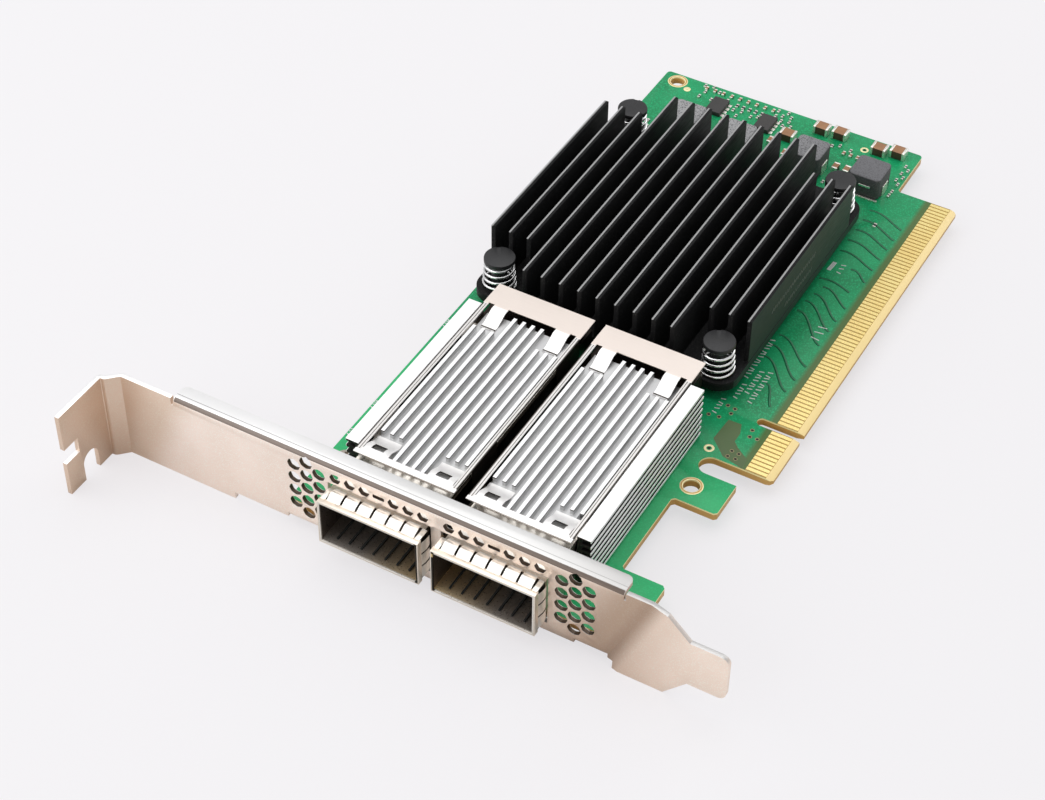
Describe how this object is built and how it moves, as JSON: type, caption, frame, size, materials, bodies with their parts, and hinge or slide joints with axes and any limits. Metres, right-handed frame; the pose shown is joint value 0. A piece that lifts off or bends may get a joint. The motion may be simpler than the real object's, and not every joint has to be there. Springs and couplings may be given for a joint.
{
  "type": "network interface card",
  "caption": "Server network card with a keyed edge connector, two module ports, a finned main heat sink, riding port heat sinks and a full-height bracket.",
  "frame": {"origin": "on the component face, where the centre line of the key notch meets the outer edge of the edge connector", "axes": "+X leaves the card through the edge connector, +Y runs from the bracket to the rear of the board, +Z leaves the component face"},
  "size_m": [0.12, 0.1576, 0.0184],
  "materials": {
    "solder_mask": "satin green solder mask over glass laminate",
    "gold": "bright plated contact gold",
    "bracket_steel": "satin plated steel, warm grey",
    "screw_steel": "plated steel",
    "cage_steel": "bright plated spring sheet",
    "finger_steel": "bright plated spring sheet",
    "clip_steel": "satin spring steel",
    "fin_aluminium": "bare aluminium",
    "black_aluminium": "black anodised aluminium",
    "connector_plastic": "black moulded plastic",
    "package_laminate": "green package laminate",
    "lid_metal": "nickel-plated lid",
    "pad_grey": "grey thermal pad",
    "pin_plastic": "dark grey moulded plastic",
    "spring_steel": "bright spring wire",
    "inductor_grey": "granular pressed powder, grey",
    "tin": "bright tin plate",
    "chip_black": "black moulded package",
    "ceramic_tan": "tan ceramic with tinned ends",
    "resistor_black": "black glaze with tinned ends"
  },
  "bodies": {
    "root": {"circuit_board": "solder_mask", "edge_contacts_top": "gold", "edge_contacts_bottom": "gold", "full_height_bracket": "bracket_steel", "bracket_screws": "screw_steel", "cage_left": "cage_steel", "cage_right": "cage_steel", "module_connector_left": "connector_plastic", "module_connector_right": "connector_plastic", "emi_fingers_left": "finger_steel", "emi_fingers_right": "finger_steel", "port_heatsink_left": "fin_aluminium", "port_heatsink_right": "fin_aluminium", "heatsink_clip_left": "clip_steel", "heatsink_clip_right": "clip_steel", "side_heatsink_left": "fin_aluminium", "side_heatsink_right": "fin_aluminium", "controller_substrate": "package_laminate", "controller_lid": "lid_metal", "thermal_pad": "pad_grey", "main_heatsink": "black_aluminium", "push_pins": "pin_plastic", "pin_springs": "spring_steel", "power_inductors": "inductor_grey", "inductor_terminals": "tin", "power_switches": "chip_black", "large_capacitors": "ceramic_tan", "small_capacitors": "ceramic_tan", "chip_resistors": "resistor_black", "flash_memory": "chip_black", "crystal": "tin", "decoupling_capacitors": "ceramic_tan"}
  },
  "joints": []
}
